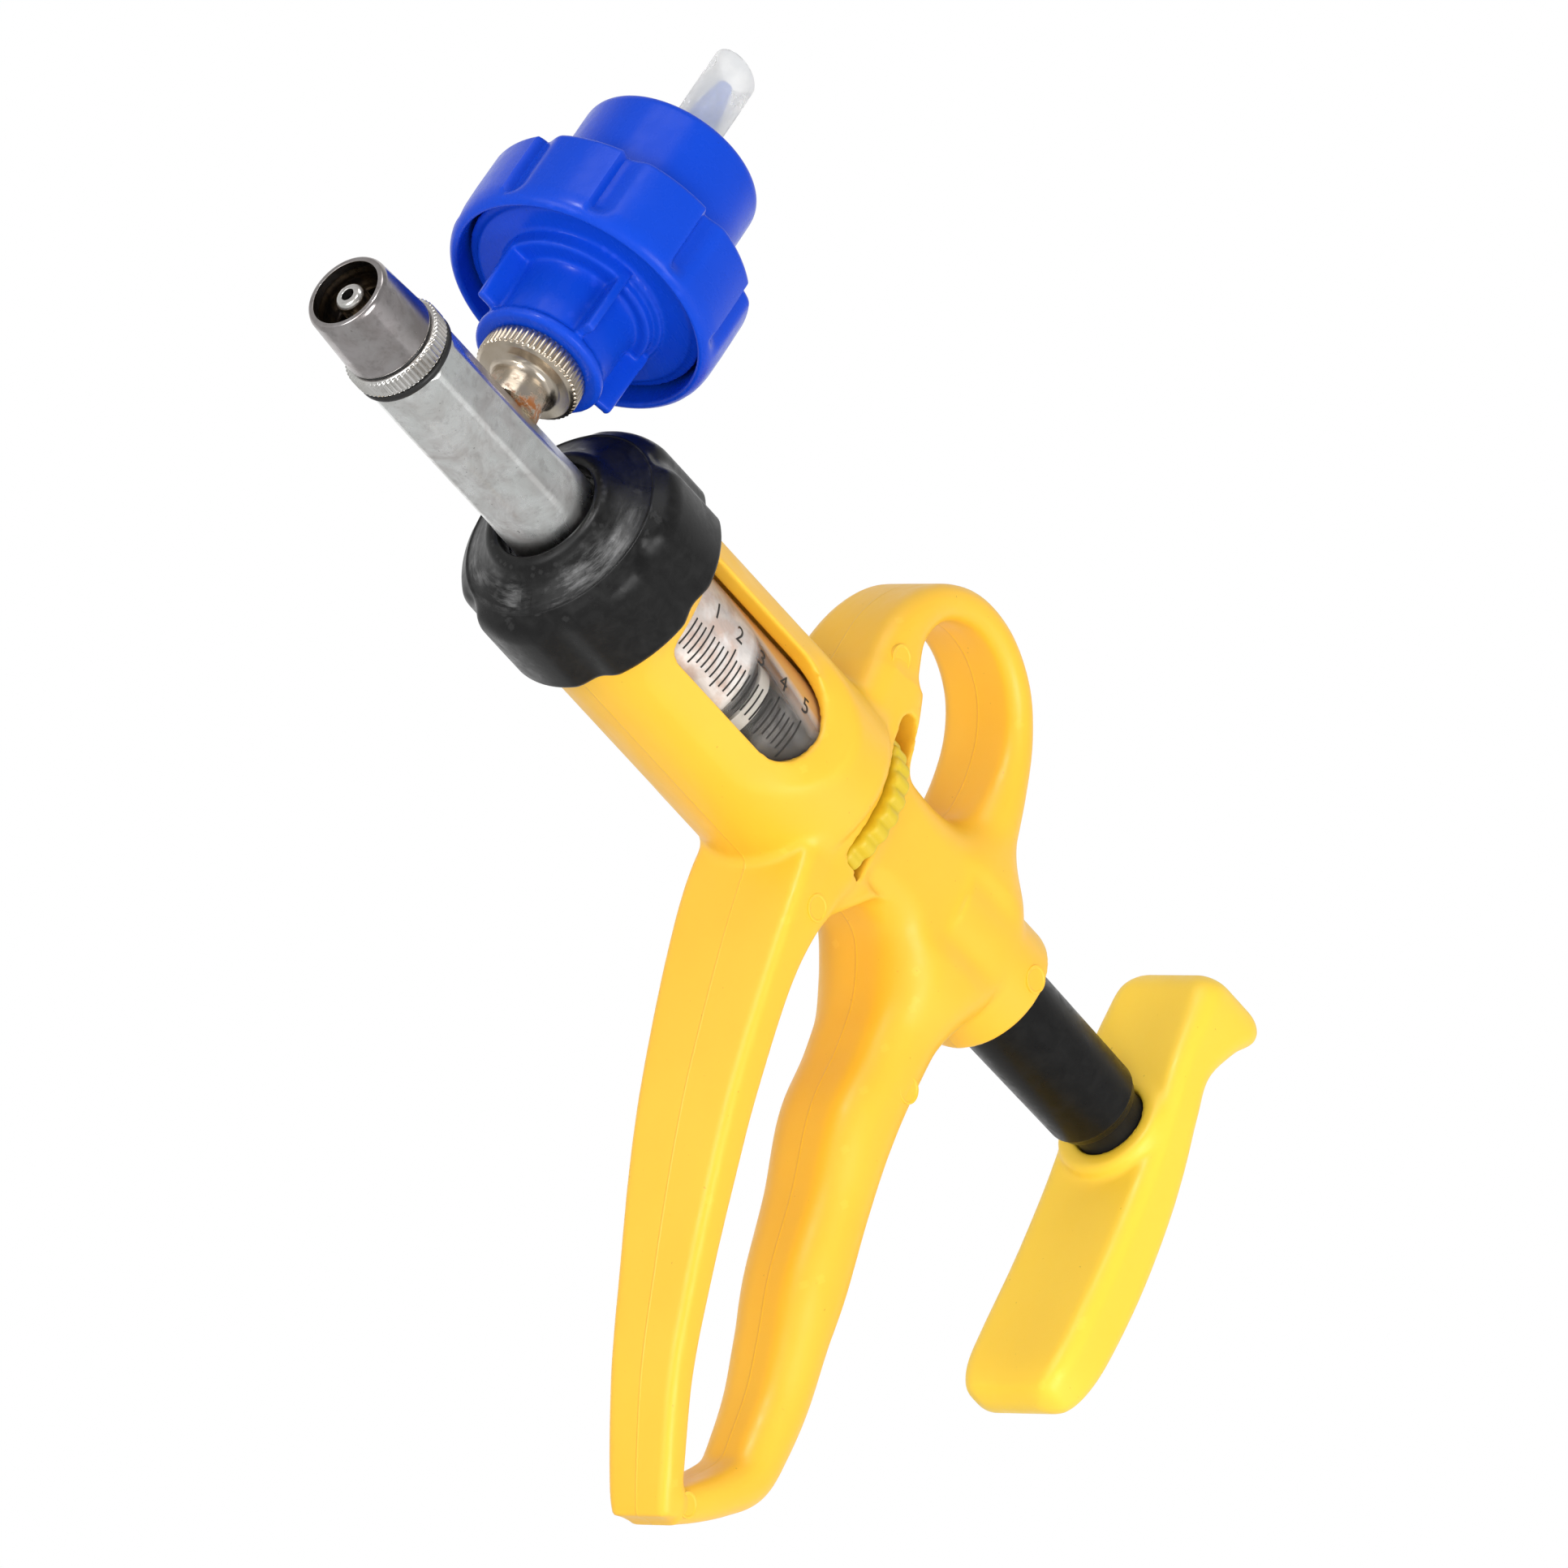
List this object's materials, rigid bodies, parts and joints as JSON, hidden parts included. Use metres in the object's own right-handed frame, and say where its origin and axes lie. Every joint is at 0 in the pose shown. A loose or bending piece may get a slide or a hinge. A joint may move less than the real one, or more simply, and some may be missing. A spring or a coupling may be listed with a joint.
{
  "type": "repeating injector gun with bottle adapter",
  "caption": "Hand-held self-filling repeating injector gun: graduated glass barrel, luer lock nozzle, spring-return push handle, dose wheel, finger loop and a bottle adapter.",
  "frame": {"origin": "centre of the whole bounding box at rest", "axes": "+X along the barrel from the needle end to the push handle, +Z towards the bottle side, +Y completes the frame"},
  "size_m": [0.211, 0.0406, 0.1752],
  "materials": {
    "yellow_plastic": "satin moulded plastic",
    "wheel_plastic": "satin moulded plastic, greenish yellow",
    "black_plastic": "satin moulded plastic",
    "blue_plastic": "glossy moulded plastic",
    "chrome_plate": "worn chrome plate on turned brass",
    "nickel_brass": "polished nickel-plated brass",
    "spring_steel": "bright stainless wire and turned parts",
    "black_rubber": "soft seal rubber",
    "white_plastic": "smooth moulded plastic",
    "barrel_glass": "clear glass",
    "clear_tube": "translucent flexible tube"
  },
  "bodies": {
    "injector_body": {"frame": "yellow_plastic", "glass_barrel": "barrel_glass", "front_barrel_seal": "black_rubber", "rear_barrel_seal": "black_rubber", "valve_body": "chrome_plate", "nose_o_ring": "black_rubber", "inlet_connector": "nickel_brass", "inlet_spring_clip": "spring_steel", "inlet_spring": "spring_steel", "outlet_spring": "spring_steel", "return_spring": "spring_steel", "adapter_hub": "blue_plastic", "hub_o_ring": "black_rubber", "cup_gasket": "black_rubber", "bottle_cup": "blue_plastic", "bottle_spike": "blue_plastic", "draw_tube": "clear_tube"},
    "plunger": {"t_handle": "yellow_plastic", "slide_tube": "black_plastic", "piston_rod": "spring_steel", "piston": "white_plastic", "piston_o_ring": "black_rubber"},
    "dose_wheel": {"dose_wheel": "wheel_plastic"},
    "dose_sleeve": {"dose_sleeve": "black_plastic"},
    "end_nut": {"end_nut": "black_plastic"},
    "ring_nut": {"ring_nut": "blue_plastic"},
    "luer_nozzle": {"luer_nozzle": "chrome_plate", "luer_hood": "chrome_plate", "nozzle_o_ring": "black_rubber"},
    "outlet_valve": {"outlet_poppet": "spring_steel"},
    "inlet_valve": {"inlet_poppet": "spring_steel"}
  },
  "joints": [
    {"name": "plunger_slide", "type": "slide", "parent": "injector_body", "child": "plunger", "axis": [-1, 0, 0], "range_m": [0, 0.016], "stiffness_N_per_m": 250, "deforming": ["return_spring"]},
    {"name": "dose_wheel_turn", "type": "hinge", "parent": "injector_body", "child": "dose_wheel", "pos_m": [0.01553, 0, 0.01375], "axis": [1, 0, 0], "range_deg": [0, 1008]},
    {"name": "dose_sleeve_slide", "type": "slide", "parent": "injector_body", "child": "dose_sleeve", "axis": [1, 0, 0], "range_m": [0, 0.0112]},
    {"name": "end_nut_turn", "type": "hinge", "parent": "injector_body", "child": "end_nut", "pos_m": [-0.04717, 0, 0.01375], "axis": [-1, 0, 0], "range_deg": [0, 90]},
    {"name": "ring_nut_turn", "type": "hinge", "parent": "injector_body", "child": "ring_nut", "pos_m": [-0.06447, 0, 0.04614], "axis": [-0.1908, 0, -0.9816], "range_deg": [0, 90]},
    {"name": "luer_nozzle_turn", "type": "hinge", "parent": "injector_body", "child": "luer_nozzle", "pos_m": [-0.09717, 0, 0.01375], "axis": [-1, 0, 0], "range_deg": [0, 90]},
    {"name": "outlet_valve_slide", "type": "slide", "parent": "injector_body", "child": "outlet_valve", "axis": [-1, 0, 0], "range_m": [0, 0.0015], "stiffness_N_per_m": 40, "deforming": ["outlet_spring"]},
    {"name": "inlet_valve_slide", "type": "slide", "parent": "injector_body", "child": "inlet_valve", "axis": [-0.1908, 0, -0.9816], "range_m": [0, 0.0012], "stiffness_N_per_m": 40, "deforming": ["inlet_spring"]}
  ],
  "couplings": [
    {"joint": "dose_wheel_turn", "follows": "dose_sleeve_slide", "rad_per_m": 1570.8}
  ]
}
